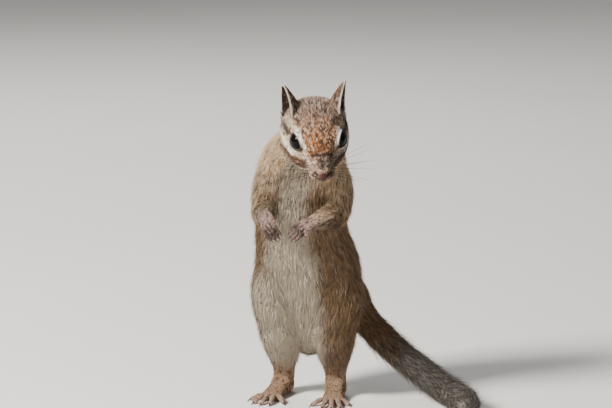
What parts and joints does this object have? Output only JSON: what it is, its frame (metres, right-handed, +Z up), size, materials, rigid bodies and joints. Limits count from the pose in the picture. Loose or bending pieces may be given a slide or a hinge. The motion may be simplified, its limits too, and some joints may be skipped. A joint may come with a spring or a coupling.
{
  "type": "chipmunk",
  "caption": "Standing chipmunk, upright on its hind feet with forepaws before the chest and the tail laid on the floor.",
  "frame": {"origin": "middle of the bounding box, on the floor that the hind feet and the tail rest on", "axes": "+Z up, -Y towards the viewer whom the animal faces, +X to the animal's own left"},
  "size_m": [0.0988, 0.0724, 0.1408],
  "materials": {
    "brown_fur": "short grizzled brown fur",
    "cream_fur": "short cream fur",
    "tail_fur": "long banded grey-brown fur",
    "bare_skin": "bare pinkish skin",
    "eye": "glossy black"
  },
  "bodies": {
    "root": {"head": "brown_fur", "lower_jaw": "cream_fur", "ear_left": "brown_fur", "ear_right": "brown_fur", "eye_left": "eye", "eye_right": "eye", "neck": "brown_fur", "chest": "brown_fur", "belly": "cream_fur", "rump": "brown_fur", "upper_arm_left": "brown_fur", "upper_arm_right": "brown_fur", "forearm_left": "brown_fur", "forearm_right": "brown_fur", "forepaw_left": "bare_skin", "forepaw_right": "bare_skin", "thigh_left": "brown_fur", "thigh_right": "brown_fur", "shank_left": "brown_fur", "shank_right": "brown_fur", "hind_foot_left": "bare_skin", "hind_foot_right": "bare_skin", "tail_base": "tail_fur", "tail_upper": "tail_fur", "tail_lower": "tail_fur", "tail_tip": "tail_fur"}
  },
  "joints": []
}
